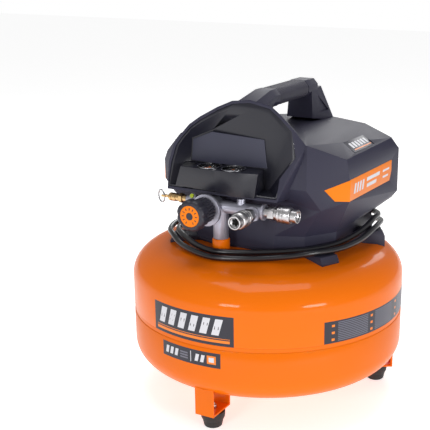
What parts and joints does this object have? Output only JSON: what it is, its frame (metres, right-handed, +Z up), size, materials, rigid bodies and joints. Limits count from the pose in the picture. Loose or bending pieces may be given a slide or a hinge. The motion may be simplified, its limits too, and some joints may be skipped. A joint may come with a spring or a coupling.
{
  "type": "pancake air compressor",
  "caption": "Pancake air compressor: low round orange tank on rubber feet, charcoal faceted cover with carry handle, front gauges, regulator knob and quick couplers.",
  "frame": {"origin": "on the floor, on the tank's axis", "axes": "+Z up, -Y towards the front panel, +X towards the side coupler"},
  "size_m": [0.406, 0.406, 0.4576],
  "materials": {
    "tank_paint": "gloss",
    "cover_plastic": "matte",
    "black_plastic": "satin",
    "orange_trim": "satin",
    "label_grey": "satin",
    "cast_metal": "satin",
    "nickel_plate": "polished",
    "brass_fitting": "satin",
    "rubber_black": "matte",
    "steel_part": "satin",
    "clear_window": "polished"
  },
  "bodies": {
    "compressor": {"tank_upper_shell": "tank_paint", "tank_lower_shell": "tank_paint", "outlet_boss": "tank_paint", "drain_cock_body": "brass_fitting", "foot_bracket_front": "tank_paint", "rubber_foot_front": "rubber_black", "foot_bolt_front": "steel_part", "foot_bracket_right": "tank_paint", "rubber_foot_right": "rubber_black", "foot_bolt_right": "steel_part", "foot_bracket_left": "tank_paint", "rubber_foot_left": "rubber_black", "foot_bolt_left": "steel_part", "shroud_cover": "cover_plastic", "side_band_right": "orange_trim", "top_badge_right": "label_grey", "side_band_left": "orange_trim", "top_badge_left": "label_grey", "shroud_base": "cover_plastic", "front_panel": "black_plastic", "tank_gauge_case": "steel_part", "tank_gauge_lens": "clear_window", "line_gauge_case": "steel_part", "line_gauge_lens": "clear_window", "carry_handle": "cover_plastic", "handle_grip": "rubber_black", "manifold_body": "cast_metal", "test_plug": "orange_trim", "front_coupler_body": "nickel_plate", "right_coupler_body": "nickel_plate", "coupler_elbow_ring": "cast_metal", "safety_valve_body": "brass_fitting", "pump_saddle": "steel_part", "pump_frame": "cast_metal", "motor_field": "steel_part", "drive_belt": "rubber_black", "pump_cylinder": "cast_metal", "cylinder_head": "cast_metal", "check_valve": "brass_fitting", "discharge_tube": "brass_fitting", "pressure_switch": "black_plastic", "cord_gland": "black_plastic", "strain_relief": "rubber_black", "power_cord": "rubber_black", "power_plug": "rubber_black"},
    "regulator_knob": {"regulator_knob": "cover_plastic", "knob_disc": "orange_trim"},
    "front_sleeve": {"front_coupler_sleeve": "nickel_plate"},
    "right_sleeve": {"right_coupler_sleeve": "nickel_plate"},
    "valve_stem": {"safety_valve_stem": "brass_fitting"},
    "valve_ring": {"safety_valve_ring": "steel_part"},
    "switch": {"power_switch": "black_plastic"},
    "drain_key": {"drain_cock_key": "brass_fitting"},
    "tank_needle": {"tank_gauge_needle": "orange_trim"},
    "line_needle": {"line_gauge_needle": "orange_trim"},
    "flywheel": {"flywheel": "cast_metal"},
    "motor": {"motor_rotor": "steel_part"},
    "piston": {"connecting_rod": "cast_metal"}
  },
  "joints": [
    {"name": "flywheel_spin", "type": "hinge", "parent": "compressor", "child": "flywheel", "pos_m": [-0.02, 0.02, 0.3226], "axis": [0, 1, 0], "continuous": true},
    {"name": "motor_spin", "type": "hinge", "parent": "compressor", "child": "motor", "pos_m": [0.076, 0.02, 0.3146], "axis": [0, 1, 0], "continuous": true},
    {"name": "piston_stroke", "type": "slide", "parent": "compressor", "child": "piston", "axis": [1, 0, 0], "range_m": [-0.012, 0.012]},
    {"name": "regulator_turn", "type": "hinge", "parent": "compressor", "child": "regulator_knob", "pos_m": [-0.041, -0.14, 0.2996], "axis": [0, 1, 0], "range_deg": [-540, 540]},
    {"name": "front_sleeve_pull", "type": "slide", "parent": "compressor", "child": "front_sleeve", "axis": [0, 1, 0], "range_m": [0, 0.004], "stiffness_N_per_m": 1500},
    {"name": "right_sleeve_pull", "type": "slide", "parent": "compressor", "child": "right_sleeve", "axis": [-1, 0, 0], "range_m": [0, 0.004], "stiffness_N_per_m": 1500},
    {"name": "valve_pull", "type": "slide", "parent": "compressor", "child": "valve_stem", "axis": [-1, 0, 0], "range_m": [0, 0.002], "stiffness_N_per_m": 4000},
    {"name": "ring_swing", "type": "hinge", "parent": "valve_stem", "child": "valve_ring", "pos_m": [-0.1193, -0.097, 0.3071], "axis": [0, 0, 1], "range_deg": [-35, 35]},
    {"name": "switch_rock", "type": "hinge", "parent": "compressor", "child": "switch", "pos_m": [-0.077, -0.0943, 0.3516], "axis": [1, 0, 0], "range_deg": [-16, 0]},
    {"name": "drain_turn", "type": "hinge", "parent": "compressor", "child": "drain_key", "pos_m": [0, 0.112, 0.025], "axis": [0, 0, 1], "range_deg": [-90, 90]},
    {"name": "tank_needle_sweep", "type": "hinge", "parent": "compressor", "child": "tank_needle", "pos_m": [-0.043, -0.0943, 0.3566], "axis": [0, 0, 1], "range_deg": [-270, 0]},
    {"name": "line_needle_sweep", "type": "hinge", "parent": "compressor", "child": "line_needle", "pos_m": [-0.005, -0.0943, 0.3566], "axis": [0, 0, 1], "range_deg": [-270, 0]}
  ],
  "couplings": [
    {"joint": "motor_spin", "follows": "flywheel_spin", "ratio": 5}
  ]
}
